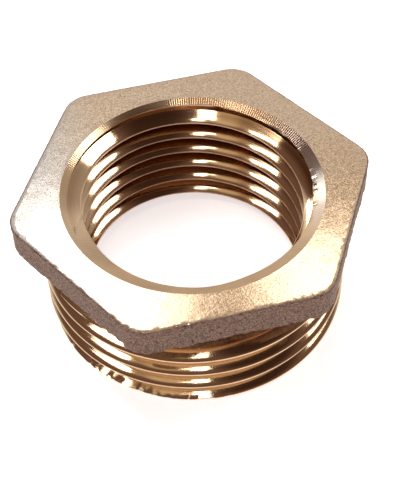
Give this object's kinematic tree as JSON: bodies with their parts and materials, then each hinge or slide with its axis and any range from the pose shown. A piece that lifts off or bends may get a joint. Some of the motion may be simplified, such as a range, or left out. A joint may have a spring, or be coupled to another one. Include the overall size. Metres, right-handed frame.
{
  "type": "hex bushing",
  "caption": "Brass hexagon reducing bush: a thin forged hexagon head on a short barrel, with an outside pipe thread and a bore threaded for a smaller pipe.",
  "frame": {"origin": "centre of the barrel's end face, on the axis of the threads", "axes": "+Z along the axis towards the hexagon head, -Y towards one flat of the hexagon"},
  "size_m": [0.0306, 0.0272, 0.012],
  "materials": {
    "brass": "forged brass, sand-blasted matte head with rough brown sides, machined threads with fine turning marks"
  },
  "bodies": {
    "root": {"hex_bushing": "brass"}
  },
  "joints": []
}
